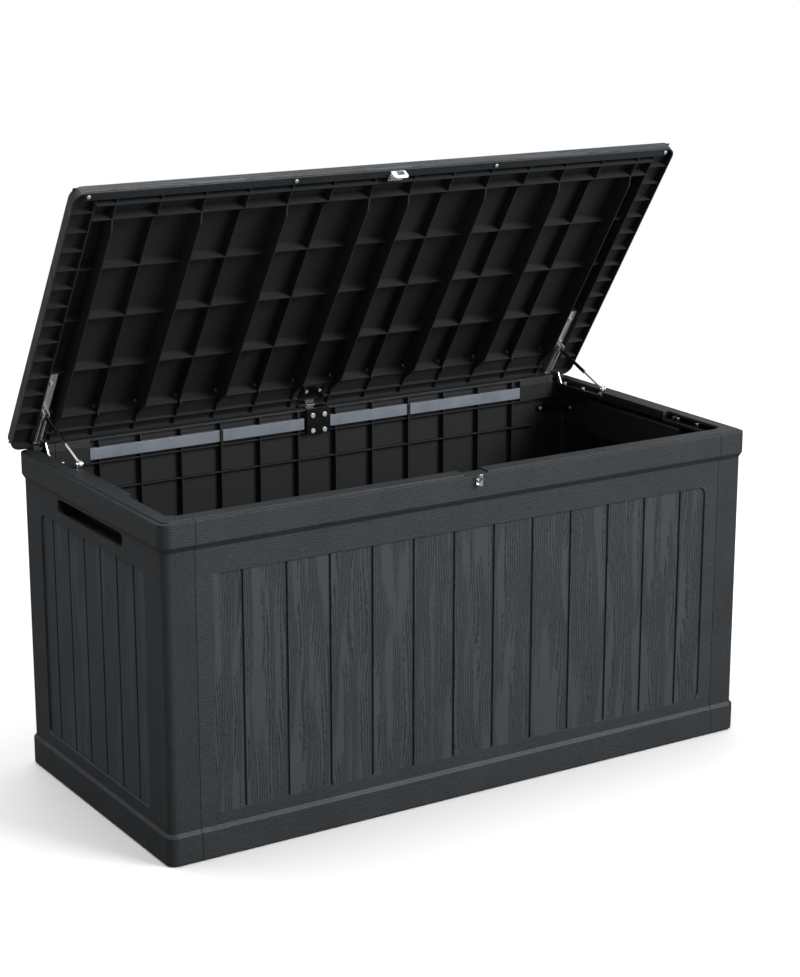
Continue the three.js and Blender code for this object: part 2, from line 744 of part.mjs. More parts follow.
function lidPockets() {
  const half = lidRib / 2;
  const inner = columnU - half;
  const low = -bite;
  const sides = bothSides([columnU + half, lidU - lidWall]);
  return [
    lidBlock([-inner, inner], [rearRowV + half, crownV[1] - half], [low, cellFloor]),
    lidBlock([-inner, inner], [crownV[1] + half, railV[0] - 2], [low, frontFloor]),
    lidBlock([-lidU + lidWall, lidU - lidWall], [railV[0] - 2, lidV[1] - lidWall], [low, edgeFloor]),
    lidBlock([-inner, inner], [lidV[0] + lidWall, rearRowV - half], [low, edgeFloor]),
    lidBlock([-inner, inner], [rearRowV - lidRib, rearRowV + lidRib], [low, rowEdge]),
    ...sides.map((u) => lidBlock(u, [lidV[0] + lidWall, lidV[1] - lidWall], [low, edgeFloor])),
    lidBlock([-lidU + lidWall, lidU - lidWall], [lidV[0] + lidWall, railV[0] - gap], [low, sideW]),
    lidBlock([-lidU + lidWall, lidU - lidWall], [lidV[0] + lidWall, tailV], [low, tailW]),
  ];
}

// lower edge of a long rib, from the front wall to the rear wall
function longRib(u, deep) {
  const overRail = railThick + gap;
  const head = [[lidV[1] - bite, edgeFloor + bite], [lidV[1] - bite, overRail],
    [railV[0] - gap, overRail], [railV[0] - gap, bite], [crownV[1], bite]];
  const middle = deep
    ? [[crownV[1] - 20, ribLow], [rearRowV + 26, ribLow], [rearRowV + 4, 2]]
    : [[crownV[1] - 16, rowEdge], [rearRowV + 8, rowEdge], [rearRowV, 6]];
  const tail = [[tailV, tailW], [lidV[0] + bite, tailW], [lidV[0] + bite, edgeFloor + bite],
    [rearRowV, edgeFloor + bite], [rearRowV + 8, cellFloor + bite], [crownV[1] - 8, cellFloor + bite],
    [crownV[1] + 8, frontFloor + bite], [railV[0] - 8, edgeFloor + 2 * bite]];
  return pullX(lidProfile([...head, ...middle, ...tail]), [u - lidRib / 2, u + lidRib / 2]);
}

// a rib across the lid, v and lower edge given
function crossRib(u, v0, low, top) {
  return lidBlock(u, [v0 - lidRib / 2, v0 + lidRib / 2], [low, top + bite]);
}

function lidRibs() {
  const half = lidRib / 2;
  const reach = columnU - half + bite / 2;
  const across = [-reach, reach];
  const ribs = grooveCentres(longRibs, ribPitch).map((u) => {
    const order = Math.round(Math.abs(u) / ribPitch - 0.5);
    return longRib(u, order % 2 === 0);
  });
  for (const row of [...rowV, rearRowV]) ribs.push(crossRib(across, row, rowEdge, cellFloor));
  ribs.push(crossRib(across, crownV[1], bite, cellFloor), crossRib(across, bandRibV, bandRibW, frontFloor));
  for (const u of bothSides([leafX + 4, bracketX - 16])) ribs.push(crossRib(u, rearStripV, tailW, edgeFloor));
  const pitch = (columnV[1] - columnV[0]) / (columnRibs - 1);
  for (let i = 0; i < columnRibs; i += 1) {
    const at = columnV[0] + i * pitch;
    for (const u of bothSides([columnU, lidU - bite])) {
      ribs.push(lidBlock(u, [at - bite, at + bite], [sideW, edgeFloor + bite]));
    }
  }
  return join(ribs);
}

function bracketPads() {
  return bothSides([bracketX - plateHalf - 1.5, columnU])
    .map((u) => lidBlock(u, [plateV[0] + 4, plateV[1] + 2], [plateW[1] + gap, cellFloor + bite]));
}

// the rear wall bulges round each hinge: width and radius of what turns inside
const pinRoom = pinReach + pinHead + swing;
const housings = [
  [[-leafX - 2.3, leafX + 2.3], knuckleR],
  ...bothSides([bracketX - pinRoom, bracketX + pinRoom]).map((u) => [u, earR]),
];

function hingeHousings() {
  return housings.map(([u, radius]) => lidBlock([u[0] - housingWall, u[1] + housingWall],
    [axisV - radius - swing - housingWall, lidV[0] + bite], [0, lidEdge - bite]));
}

function lidNotches() {
  const inside = lidV[0] + lidWall + bite;
  const notches = housings.map(([u, radius]) => lidBlock(u, [axisV - radius - swing, inside],
    [-bite, axisW + radius + swing]));
  const railRoom = lidBlock([-railU - gap, railU + gap], [railV[0] - gap, lidV[1] + bite],
    [-bite, railThick + gap]);
  return [...notches, railRoom];
}

function topPlanks() {
  const span = crownV[1] - crownV[0];
  return grooveCentres(topGrooves, span / (topGrooves + 1)).map((at) => {
    const middle = (crownV[0] + crownV[1]) / 2 + at;
    return lidBlock([-crownU + 30, crownU - 30], [middle - 3, middle + 3],
      [crownTop - topGrooveDeep, crownTop + bite]);
  });
}

function lidShell() {
  const room = join(lidPockets()).intersect(lidRoom());
  const body = lidOuter().subtract(room).add(join([lidRibs(), ...bracketPads(), ...hingeHousings()]));
  return cut(body, [...lidNotches(), ...topPlanks()]);
}

function lidRail() {
  return lidBlock([-railU, railU], railV, [0, railThick]);
}

function hasp() {
  const t = haspThick;
  const leaf = lidBlock(haspU, [haspLeafV, haspV + t], [-gap - t, -gap]);
  const plate = pullY(roundedRect(haspU, [w(-haspDrop), w(haspDrop / 3)], 7), [v(haspV + t), v(haspV)], 3)
    .subtract(lidBlock([-lidU, lidU], [0, lidV[1] + bite], [-gap, haspDrop]));
  const slot = lidBlock(haspSlotU, [haspV - bite, haspV + 2 * t], [-haspSlotDrop, -gap - t]);
  return leaf.add(plate).subtract(slot);
}

function lidBracket() {
  const base = lidBlock([bracketX - plateHalf, bracketX + plateHalf], plateV, plateW);
  const parts = [base];
  const rivets = bothSides([cheekIn + steel - 0.4, cheekIn + steel + 1.2]);
  for (const [i, cheek] of bothSides([cheekIn, cheekIn + steel]).entries()) {
    const u = [bracketX + cheek[0], bracketX + cheek[1]];
    const rivet = [bracketX + rivets[i][0], bracketX + rivets[i][1]];
    parts.push(lidBlock(u, [plateV[0], prongV], [prongW, plateW[1] - 0.5]));
    parts.push(lidBlock(u, [axisV, prongV - 4], armW));
    parts.push(discX(armR, u, 0, 0, 18));
    parts.push(discX(3.2, rivet, v(eyeV), w(eyeW), 10));
  }
  const bore = discX(holeRadius(pinR, running, 14), [bracketX - 12, bracketX + 12], 0, 0);
  return join(parts).subtract(bore);
}

function lidLeaf() {
  const w0 = edgeFloor - gap - leafThick;
  const w1 = edgeFloor - gap;
  const plate = lidBlock([-leafX, leafX], [axisV + 7, rearRowV - 2 * lidRib], [w0, w1]);
  const web = pullX(lidProfile([[axisV + 10, w1], [axisV - 1, w1], [axisV - 3, axisW + 2],
    [axisV + 3, axisW + 1], [axisV + 10, w0]]), [-knuckleHalf, knuckleHalf]);
  const barrel = discX(knuckleR, [-knuckleHalf, knuckleHalf], 0, 0, 16);
  const hole = holeRadius(centrePinR, running, 12);
  const bore = discX(hole, [-knuckleHalf - bite, knuckleHalf + bite], 0, 0, 12);
  return join([plate, web, barrel]).subtract(bore);
}

// ---------- gas struts, in their own frame: lower stud at the origin, the strut along +Y ----------
const eyeOpen = new THREE.Vector2(
  hingeY + v(eyeV) * Math.cos(openAngle) + w(eyeW) * Math.sin(openAngle),
  hingeZ - v(eyeV) * Math.sin(openAngle) + w(eyeW) * Math.cos(openAngle));
const strutLength = Math.hypot(eyeOpen.x - studY, eyeOpen.y - studZ);
const strutAngle = Math.atan2(eyeOpen.y - studZ, eyeOpen.x - studY);

function strutRod() {
  const eye = discX(rodEyeR, [-eyeHalf, eyeHalf], 0, 0, 16);
  const neck = disc(3.2, 0, 10, Y, 10);
  const rod = disc(rodR, 0, rodReach, Y, 12);
  const bore = discX(holeRadius(studR, running, 12), [-eyeHalf - bite, eyeHalf + bite], 0, 0, 12);
  return join([eye, neck, rod]).subtract(bore);
}

function strutTube() {
  const eye = discX(topEyeR, [-eyeHalf, eyeHalf], 0, 0, 16);
  const tube = disc(tubeR, -tubeLength, 0, Y, 14);
  const bore = disc(holeRadius(rodR, running, 12), -tubeLength - bite, -tubeLength + boreDeep, Y, 12);
  return join([eye, tube]).subtract(bore);
}

// ---------- screws ----------
// each: name, place on the surface, outward direction, length of shank, and what the shank goes through
function screwSolid(length, radius) {
  const head = disc(radius, gap, gap + headThick, Y, 9, radius * 0.72);
  return head.add(disc(shankR, -length, gap + bite, Y, 6));
}

function screwHole(length) {
  return disc(holeRadius(shankR, gap, 6), -length - gap, headThick, Y, 6);
}

function place(body, at, out) {
  const way = new THREE.Quaternion().setFromUnitVectors(Y, out);
  const turn = new THREE.Matrix4().makeRotationFromQuaternion(way).setPosition(at[0], at[1], at[2]);
  return body.transform(turn.elements);
}

const front = Y.clone().negate();
const down = Z.clone().negate();
const boxScrews = [];
const lidScrews = [];

function leafScrews() {
  const rows = [['low', leafLow + 5], ['high', leafTopLow - 11.6]];
  for (const [row, z] of rows) {
    for (const [end, side] of [['left', -1], ['right', 1]]) {
      boxScrews.push({ name: `hinge_screw_${row}_${end}`, out: front, length: 9, radius: leafHeadR,
        at: [side * (leafX - 11.8), leafFront, z], through: ['centre_hinge_box_leaf', 'back_panel'] });
    }
  }
}

function sideScrews(end, side) {
  const inward = X.clone().multiplyScalar(-side);
  const braceMiddle = (braceZ[0] + braceZ[1]) / 2;
  [58.5, 120.5, 179.5].forEach((back, i) => boxScrews.push({ name: `bracket_screw_${end}_${i + 1}`,
    at: [side * (bracketX + 3.6), hingeY - back, stripTop], out: Z, length: 5,
    through: [`side_bracket_${end}`, `${end}_panel`] }));
  pocketBossY.forEach((y, i) => boxScrews.push({ name: `pocket_screw_${end}_${i + 1}`,
    at: [side * pocketBossX, y, pocketBossTop], out: Z, length: 6, through: [`${end}_panel`] }));
  boxScrews.push({ name: `brace_screw_${end}_back`, out: front, length: 6,
    at: [side * (seamX - 11), innerY - gap - braceThick, braceMiddle],
    through: [`corner_brace_${end}`, 'back_panel'] });
  boxScrews.push({ name: `brace_screw_${end}_side`, out: inward, length: 6,
    at: [side * (innerX - gap - braceThick), innerY - gap - (braceFold + braceEnd) / 2, braceMiddle],
    through: [`corner_brace_${end}`, `${end}_panel`] });
  [plateV[1] - 21, prongV + 6].forEach((at, i) => lidScrews.push({
    name: `lid_bracket_screw_${end}_${i + 1}`, out: down, length: 9,
    at: [side * bracketX, v(at), w(plateW[0])], through: [`lid_bracket_${end}`, 'lid_shell'] }));
  lidScrews.push({ name: `leaf_screw_${end}`, out: down, length: 5.5,
    at: [side * (leafX - 10), v(rearRowV - 18), w(edgeFloor - gap - leafThick)],
    through: ['centre_hinge_lid_leaf', 'lid_shell'] });
  [2.5 * ribPitch, railU - 7].forEach((u, i) => lidScrews.push({
    name: `rail_screw_${end}_${i + 1}`, out: down, length: 6,
    at: [side * u, v(railV[0] + 10), w(0)], through: ['lid_front_rail', 'lid_shell'] }));
}

function listScrews() {
  leafScrews();
  sideScrews('left', -1);
  sideScrews('right', 1);
  boxScrews.push({ name: 'staple_screw', out: front, length: 6, radius: 2.6,
    at: [(stapleX[0] + stapleX[1]) / 2, -rimY - gap - staplePlate, stapleLow + 7.5],
    through: ['staple', 'front_panel'] });
  lidScrews.push({ name: 'hasp_screw', at: [haspU[0] + 5, v(haspLeafV + 9), w(-gap - haspThick)], out: down,
    length: 4.5, through: ['hasp', 'lid_front_rail'] });
}

// ---------- materials ----------
function look(name, color, roughness, metalness) {
  const material = new THREE.MeshStandardMaterial({ color, roughness, metalness });
  material.name = name;
  return material;
}

const looks = {
  resin: ['#3b3d40', 0.62, 0],
  innerResin: ['#242628', 0.55, 0],
  blackSteel: ['#17181a', 0.45, 0.6],
  barSteel: ['#8a8f96', 0.4, 0.9],
  chrome: ['#c9ccd0', 0.18, 1],
  blackTube: ['#101113', 0.3, 0.3],
};

// ---------- the assembly ----------
const box = {};
const lid = {};
const mirror = (body) => body.mirror([1, 0, 0]);

function buildBox() {
  box.floor_panel = [floorPanel(), 'innerResin'];
  box.front_panel = [frontPanel(), 'resin'];
  box.back_panel = [backPanel(), 'resin'];
  const pairs = {
    panel: [sidePanel(), 'resin'],
    rear_bar: [rearBar(), 'barSteel'],
    bar_clip: [barClip(), 'innerResin'],
    corner_brace: [cornerBrace(), 'blackSteel'],
    side_bracket: [boxBracket(), 'chrome'],
    hinge_pin: [hingePin(), 'chrome'],
  };
  for (const [name, [body, material]] of Object.entries(pairs)) {
    const isPanel = name === 'panel';
    box[isPanel ? 'right_panel' : `${name}_right`] = [body, material];
    box[isPanel ? 'left_panel' : `${name}_left`] = [mirror(body), material];
  }
  box.staple = [staple(), 'chrome'];
  box.centre_hinge_box_leaf = [boxLeaf(), 'blackSteel'];
  box.centre_hinge_pin = [centrePin(), 'blackSteel'];
}

function buildLid() {
  lid.lid_shell = [lidShell(), 'resin'];
  lid.lid_front_rail = [lidRail(), 'resin'];
  lid.hasp = [hasp(), 'chrome'];
  lid.centre_hinge_lid_leaf = [lidLeaf(), 'blackSteel'];
  const bracket = lidBracket();
  lid.lid_bracket_right = [bracket, 'chrome'];
  lid.lid_bracket_left = [mirror(bracket), 'chrome'];
}

function drill(parts, screws) {
  for (const screw of screws) {
    const hole = place(screwHole(screw.length), screw.at, screw.out);
    for (const name of screw.through) parts[name][0] = parts[name][0].subtract(hole);
    const body = screwSolid(screw.length, screw.radius ?? headR);
    parts[screw.name] = [place(body, screw.at, screw.out), 'chrome'];
  }
}

function addMeshes(group, parts) {
  for (const [name, [body, material]] of Object.entries(parts)) {
    const mesh = new THREE.Mesh(geometryOf(body), look(name, ...looks[material]));
    mesh.name = name;
    group.add(mesh);
  }
}

function strut(side) {
  const group = new THREE.Group();
  group.name = `strut_${side < 0 ? 'left' : 'right'}_frame`;
  group.position.set(side * bracketX, studY, studZ);
  group.rotation.x = strutAngle;
  const end = side < 0 ? 'left' : 'right';
  addMeshes(group, { [`strut_rod_${end}`]: [strutRod(), 'chrome'] });
  const tube = new THREE.Group();
  tube.name = `strut_${end}_tube_frame`;
  tube.position.y = strutLength;
  addMeshes(tube, { [`strut_cylinder_${end}`]: [strutTube(), 'blackTube'] });
  group.add(tube);
  return group;
}

listScrews();
buildBox();
buildLid();
drill(box, boxScrews);
drill(lid, lidScrews);

const deckBox = new THREE.Group();
deckBox.name = 'deck_storage_box';
addMeshes(deckBox, box);

const lidFrame = new THREE.Group();
lidFrame.name = 'lid_frame';
lidFrame.position.set(0, hingeY, hingeZ);
lidFrame.rotation.x = -openAngle;
addMeshes(lidFrame, lid);
deckBox.add(lidFrame);
deckBox.add(strut(-1));
deckBox.add(strut(1));

export default deckBox;
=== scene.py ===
# Deck storage box: moulded resin panels, plated steel, gas struts, studio floor, lights and camera
import json
import math

import bpy
from mathutils import Matrix, Vector


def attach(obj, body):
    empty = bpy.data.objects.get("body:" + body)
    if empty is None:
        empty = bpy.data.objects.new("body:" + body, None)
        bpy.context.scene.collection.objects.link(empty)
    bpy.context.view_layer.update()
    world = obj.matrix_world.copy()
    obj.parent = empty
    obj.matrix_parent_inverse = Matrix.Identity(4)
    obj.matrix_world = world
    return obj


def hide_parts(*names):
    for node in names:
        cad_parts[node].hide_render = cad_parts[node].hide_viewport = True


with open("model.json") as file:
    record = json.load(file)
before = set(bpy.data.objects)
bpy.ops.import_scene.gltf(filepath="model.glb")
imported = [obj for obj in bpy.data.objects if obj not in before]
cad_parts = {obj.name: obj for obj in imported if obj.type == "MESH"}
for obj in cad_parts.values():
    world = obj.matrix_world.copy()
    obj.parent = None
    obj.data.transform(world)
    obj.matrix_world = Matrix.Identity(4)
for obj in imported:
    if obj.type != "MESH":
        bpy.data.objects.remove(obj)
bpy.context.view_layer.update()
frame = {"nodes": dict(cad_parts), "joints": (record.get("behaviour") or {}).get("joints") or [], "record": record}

nodes = frame["nodes"]
bodyOf = {n: b for b, names in frame["record"]["behaviour"]["bodies"].items() for n in names}
slotOf = {s["node"]: s["material_slot"] for s in frame["record"]["subparts"]}
hinge = [j for j in frame["joints"] if j["name"] == "lid_hinge"][0]
hingeAt = Vector(hinge["pos_m"])
openAngle = math.radians(hinge["range_deg"][1])
print("frame loaded:", len(nodes), "nodes")


def linear(hexColour):
    # sRGB hex to linear colour with alpha
    parts = [int(hexColour[i:i + 2], 16) / 255 for i in (1, 3, 5)]
    return tuple(c / 12.92 if c <= 0.04045 else ((c + 0.055) / 1.055) ** 2.4 for c in parts) + (1.0,)


def addNode(tree, kind, settings=None, links=None):
    # one node with its properties, its inputs by name or number, and what feeds them
    node = tree.nodes.new("ShaderNode" + kind)
    for key, value in (settings or {}).items():
        if isinstance(key, str) and hasattr(node, key):
            setattr(node, key, value)
        else:
            node.inputs[key].default_value = value
    for key, source in (links or {}).items():
        if isinstance(source, (int, float)):
            node.inputs[key].default_value = source
        else:
            tree.links.new(getattr(source, "outputs", [source])[0], node.inputs[key])
    return node


def clearSelection():
    if bpy.context.object and bpy.context.object.mode != "OBJECT":
        bpy.ops.object.mode_set(mode="OBJECT")
    bpy.ops.object.select_all(action="DESELECT")


def pick(piece):
    clearSelection()
    piece.select_set(True)
    bpy.context.view_layer.objects.active = piece


def applyModifiers(piece):
    pick(piece)
    for modifier in list(piece.modifiers):
        bpy.ops.object.modifier_apply(modifier=modifier.name)


def dress(piece, material, stands):
    # material, body and the CAD node that a new piece stands for
    piece.data.materials.clear()
    piece.data.materials.append(material)
    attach(piece, bodyOf[stands])
    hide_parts(stands)


def newMaterial(name):
    material = bpy.data.materials.new(name)
    material.use_nodes = True
    tree = material.node_tree
    return material, tree, tree.nodes["Principled BSDF"]


def band(tree, value, low, high, soft=0.0004):
    # 1 where value lies between low and high, with soft edges in metres
    rise = addNode(tree, "MapRange", {"interpolation_type": "SMOOTHSTEP", "From Min": low - soft,
        "From Max": low + soft}, {"Value": value})
    fall = addNode(tree, "MapRange", {"interpolation_type": "SMOOTHSTEP", "From Min": high + soft,
        "From Max": high - soft}, {"Value": value})
    return addNode(tree, "Math", {"operation": "MULTIPLY"}, {0: rise, 1: fall})


def stretched(tree, across, along, seed, size, detail, look):
    # noise drawn out along the grain, size gives the width and length of its cells in metres
    x = addNode(tree, "Math", {"operation": "DIVIDE", 1: size[0]}, {0: across})
    y = addNode(tree, "Math", {"operation": "DIVIDE", 1: size[1]}, {0: along})
    at = addNode(tree, "CombineXYZ", None, {0: x, 1: y, 2: seed})
    return addNode(tree, "TexNoise", {"Scale": 1.0, "Detail": detail, "Roughness": look["detailShare"]},
        {"Vector": at})


def grain(tree, across, along, seed, look, kind):
    # embossed wood grain: thin grooves at an even pitch, roughened by pores. On the planks they bend
    # round smooth patches with pointed, frayed ends, on rails and stiles there are no patches.
    # returns the height of the relief and the patches, both from 0 to 1
    own = look[kind]
    wander = stretched(tree, across, along, seed, own["wander"], look["wanderDetail"], look)
    ragged = stretched(tree, across, along, seed, own["pore"], look["poreDetail"], look)
    bend = addNode(tree, "Math", {"operation": "MULTIPLY_ADD", 1: own["bend"]}, {0: wander, 2: across})
    bend = addNode(tree, "Math", {"operation": "MULTIPLY_ADD", 1: own["ragged"]}, {0: ragged, 2: bend})
    gap = addNode(tree, "Math", {"operation": "PINGPONG", 1: own["pitch"] / 2}, {0: bend})
    lines = addNode(tree, "MapRange", {"From Max": own["thick"], "To Min": 1 - own["depth"]},
        {"Value": gap})
    rough = addNode(tree, "Mix", {"data_type": "FLOAT", 0: own["poreShare"]}, {2: lines, 3: ragged})
    if "patchFrom" not in own:
        return rough, 0.0
    frayed = addNode(tree, "Math", {"operation": "MULTIPLY_ADD", 1: own["fray"]}, {0: lines, 2: wander})
    patch = addNode(tree, "MapRange", {"interpolation_type": "SMOOTHSTEP", "From Min": own["patchFrom"],
        "From Max": own["patchFrom"] + look["patchEdge"]}, {"Value": frayed})
    level = addNode(tree, "Mix", {"data_type": "FLOAT", 3: look["patchLevel"]}, {0: patch, 2: rough})
    return level, patch


# polypropylene with carbon-black pigment, injection moulded in an acid-etched wood-grain tool:
# matt and a little bluish, smooth patches paler than the grooves. Pattern sizes in metres.
# inside is the colour of the smooth inside faces: darker than the outside, painted shade of the box's interior
resinLook = {
    "deep": "#0f1113", "pale": "#343a3f", "inside": "#111315", "ior": 1.49,
    "roughness": 0.6, "patchRoughness": 0.52, "insideRoughness": 0.72,
    "relief": 0.5e-3,                # depth of the embossing
    "patchLevel": 0.85,              # height of the smooth patches
    "patchEdge": 0.02,               # softness of their outline
    "patchShare": 0.05,              # what the patches and the clouding add to the tone
    "cloudShare": 0.3,
    "tone": (0.3, 1.1),              # tone that takes the deep colour, and the pale one
    "cloud": 11.0,                   # unevenness of the pigment, about 90 mm across
    "etch": 1600.0,                  # tool texture of the smooth faces, about 0.6 mm across
    "etchHeight": 0.12,
    "wanderDetail": 0.6, "poreDetail": 1.0, "detailShare": 0.55,     # fineness of the noise
    "plank": {"wander": (0.021, 0.2), "patchFrom": 0.61, "fray": 0.13, "bend": 0.026, "pitch": 0.0044,
              "thick": 0.0017, "depth": 1.0, "pore": (0.003, 0.009), "ragged": 0.004, "poreShare": 0.25},
    "rail": {"wander": (0.05, 0.3), "bend": 0.006, "pitch": 0.0034, "thick": 0.0026, "depth": 1.0,
             "pore": (0.0025, 0.012), "ragged": 0.0045, "poreShare": 0.4},
    "stile": {"wander": (0.05, 0.3), "bend": 0.006, "pitch": 0.0034, "thick": 0.0021, "depth": 1.0,
              "pore": (0.0025, 0.010), "ragged": 0.0045, "poreShare": 0.4},
    "plain": {"wander": (0.03, 0.24), "patchFrom": 0.62, "fray": 0.1, "bend": 0.02, "pitch": 0.0046,
              "thick": 0.0016, "depth": 0.7, "pore": (0.003, 0.01), "ragged": 0.004, "poreShare": 0.25},
}


def etched(tree, place, look):
    # relief of the smooth faces
    etch = addNode(tree, "TexNoise", {"Scale": look["etch"], "Detail": 1.0},
        {"Vector": place.outputs["Object"]})
    return addNode(tree, "Math", {"operation": "MULTIPLY", 1: look["etchHeight"]}, {0: etch})


def smoothResin(name, look=resinLook):
    material, tree, shader = newMaterial(name)
    relief = etched(tree, addNode(tree, "TexCoord"), look)
    bump = addNode(tree, "Bump", {"Strength": 1.0, "Distance": look["relief"]}, {"Height": relief})
    tree.links.new(bump.outputs[0], shader.inputs["Normal"])
    # the inside colour all over: painted shade of the box's interior on its floor
    shader.inputs["Base Color"].default_value = linear(look["inside"])
    shader.inputs["Roughness"].default_value = look["insideRoughness"]
    shader.inputs["IOR"].default_value = look["ior"]
    return material


def grainedResin(name, areas, look=resinLook):
    # areas gives (mask, across, along, seed, kind) for each grain area, and the mask of the smooth
    # inside, which is None on a piece that has grain all over
    material, tree, shader = newMaterial(name)
    place = addNode(tree, "TexCoord")
    split = addNode(tree, "SeparateXYZ", None, {0: place.outputs["Object"]})
    grainAreas, inside = areas(tree, place, *split.outputs)
    relief = patches = None
    for mask, across, along, seed, kind in grainAreas:
        level, patch = grain(tree, across, along, seed, look, kind)
        if relief:
            level = addNode(tree, "Mix", {"data_type": "FLOAT"}, {0: mask, 2: relief, 3: level})
            patch = addNode(tree, "Mix", {"data_type": "FLOAT"}, {0: mask, 2: patches, 3: patch})
        relief, patches = level, patch
    cloud = addNode(tree, "TexNoise", {"Scale": look["cloud"], "Detail": 2.0},
        {"Vector": place.outputs["Object"]})
    tone = addNode(tree, "Math", {"operation": "MULTIPLY_ADD", 1: look["patchShare"]},
        {0: patches, 2: relief})
    tone = addNode(tree, "Math", {"operation": "MULTIPLY_ADD", 1: look["cloudShare"]},
        {0: cloud, 2: tone})
    tone = addNode(tree, "MapRange", {"From Min": look["tone"][0], "From Max": look["tone"][1]},
        {"Value": tone})
    colour = addNode(tree, "Mix", {"data_type": "RGBA", 6: linear(look["deep"]), 7: linear(look["pale"])},
        {0: tone})
    gloss = look["roughness"]
    if patches:
        gloss = addNode(tree, "MapRange", {"To Min": look["roughness"], "To Max": look["patchRoughness"]},
            {"Value": patches})
    # the inside takes the darker inside colour: painted shade of the interior
    if inside:
        colour = addNode(tree, "Mix", {"data_type": "RGBA", 7: linear(look["inside"])},
            {0: inside, 6: colour.outputs[2]})
        gloss = addNode(tree, "Mix", {"data_type": "FLOAT", 3: look["insideRoughness"]},
            {0: inside, 2: gloss})
        relief = addNode(tree, "Mix", {"data_type": "FLOAT"},
            {0: inside, 2: relief, 3: etched(tree, place, look)})
    if isinstance(gloss, float):
        shader.inputs["Roughness"].default_value = gloss
    else:
        tree.links.new(gloss.outputs[0], shader.inputs["Roughness"])
    bump = addNode(tree, "Bump", {"Strength": 1.0, "Distance": look["relief"]}, {"Height": relief})
    tree.links.new(colour.outputs[2], shader.inputs["Base Color"])
    tree.links.new(bump.outputs[0], shader.inputs["Normal"])
    shader.inputs["IOR"].default_value = look["ior"]
    return material


# where the grain changes, metres. Pairs are for the front and the side.
form = {"field": (0.526, 0.211), "fieldLow": 0.080, "fieldHigh": 0.504, "plank": (0.085, 0.066),
        "rimFoot": 0.5516, "rimUnder": 0.6003, "skirt": 0.0577, "wall": (0.614, 0.287), "skin": 0.0055,
        "handHold": (0.512, 0.556), "housing": 0.583,
        "lying": 0.7,                # faces that point up more than this lie flat
        "seed": ((7.31, 31.7), (5.17, 17.3))}


def plankSeed(tree, across, far, face):
    # a different number on each plank and on the near and far panel: face is 0 front, 1 side
    step, farStep = form["seed"][face]
    plank = addNode(tree, "Math", {"operation": "DIVIDE", 1: form["plank"][face]}, {0: across})
    plank = addNode(tree, "Math", {"operation": "FLOOR"}, {0: plank})
    panel = addNode(tree, "Math", {"operation": "SIGN"}, {0: far})
    panel = addNode(tree, "Math", {"operation": "MULTIPLY", 1: farStep}, {0: panel})
    return addNode(tree, "Math", {"operation": "MULTIPLY_ADD", 1: step}, {0: plank, 2: panel})


def within(tree, depth, z, wall):
    # the smooth inside of a panel, which takes the painted shade colour: under the rim and deeper than the skin of
    # the wall
    deep = addNode(tree, "Math", {"operation": "ABSOLUTE"}, {0: depth})
    deep = addNode(tree, "Math", {"operation": "LESS_THAN", 1: wall - form["skin"]}, {0: deep})
    low = addNode(tree, "Math", {"operation": "LESS_THAN", 1: form["rimUnder"]}, {0: z})
    return addNode(tree, "Math", {"operation": "MULTIPLY"}, {0: deep, 1: low})


def besideOrAbove(tree, place, side, z):
    # counts across the grain: up the faces that stand, and inwards on those that lie
    normal = addNode(tree, "SeparateXYZ", None, {0: place.outputs["Normal"]})
    lies = addNode(tree, "Math", {"operation": "GREATER_THAN", 1: form["lying"]},
        {0: normal.outputs[2]})
    return addNode(tree, "Math", {"operation": "MULTIPLY_ADD"}, {0: lies, 1: side, 2: z})


def frontAreas(tree, place, x, y, z):
    seed = plankSeed(tree, x, y, 0)
    across = besideOrAbove(tree, place, y, z)
    wide = band(tree, x, -form["field"][0], form["field"][0])
    high = band(tree, z, form["fieldLow"], form["fieldHigh"])
    field = addNode(tree, "Math", {"operation": "MULTIPLY"}, {0: wide, 1: high})
    aside = addNode(tree, "Math", {"operation": "SUBTRACT", 0: 1.0}, {1: wide})
    aside = addNode(tree, "Math", {"operation": "MULTIPLY"}, {0: aside, 1: high})
    inside = within(tree, y, z, form["wall"][1])
    return [(1.0, across, x, 0.0, "rail"), (aside, z, x, 3.0, "stile"),
            (field, x, z, seed, "plank")], inside


def sideAreas(tree, place, x, y, z):
    seed = plankSeed(tree, y, x, 1)
    # runs round the corners without standing still
    outX = addNode(tree, "Math", {"operation": "ABSOLUTE"}, {0: x})
    outY = addNode(tree, "Math", {"operation": "ABSOLUTE"}, {0: y})
    around = addNode(tree, "Math", {"operation": "SUBTRACT"}, {0: outX, 1: outY})
    across = besideOrAbove(tree, place, x, z)
    upright = band(tree, z, form["skirt"], form["rimFoot"])
    wide = band(tree, y, -form["field"][1], form["field"][1])
    field = addNode(tree, "Math", {"operation": "MULTIPLY"},
        {0: wide, 1: band(tree, z, form["fieldLow"], form["fieldHigh"])})
    inX = within(tree, x, z, form["wall"][0])
    inY = within(tree, y, z, form["wall"][1])
    inside = addNode(tree, "Math", {"operation": "MULTIPLY"}, {0: inX, 1: inY})
    # the housing of the hand-hold, seen through the slot, keeps the paler outside colour instead of the dark
    # inside one: painted light in the pocket
    litHousing = band(tree, z, *form["handHold"])
    litHousing = addNode(tree, "Math", {"operation": "MULTIPLY"},
        {0: litHousing, 1: band(tree, outX, form["housing"], 1)})
    inside = addNode(tree, "Math", {"operation": "SUBTRACT", "use_clamp": True}, {0: inside, 1: litHousing})
    return [(1.0, across, around, 0.0, "rail"), (upright, around, z, 2.0, "rail"),
            (field, y, z, seed, "plain")], inside


# the closed lid, metres: pitch of its planks, then distances from the middle and from the hinge
lidForm = {"plank": 0.0792, "seedStep": 3.7, "side": 0.6322, "front": 0.5987, "rear": 0.0052,
           "skin": 0.011,            # the top lies higher than this above the hinge
           "facesUp": 0.15}          # and its faces point up more than this


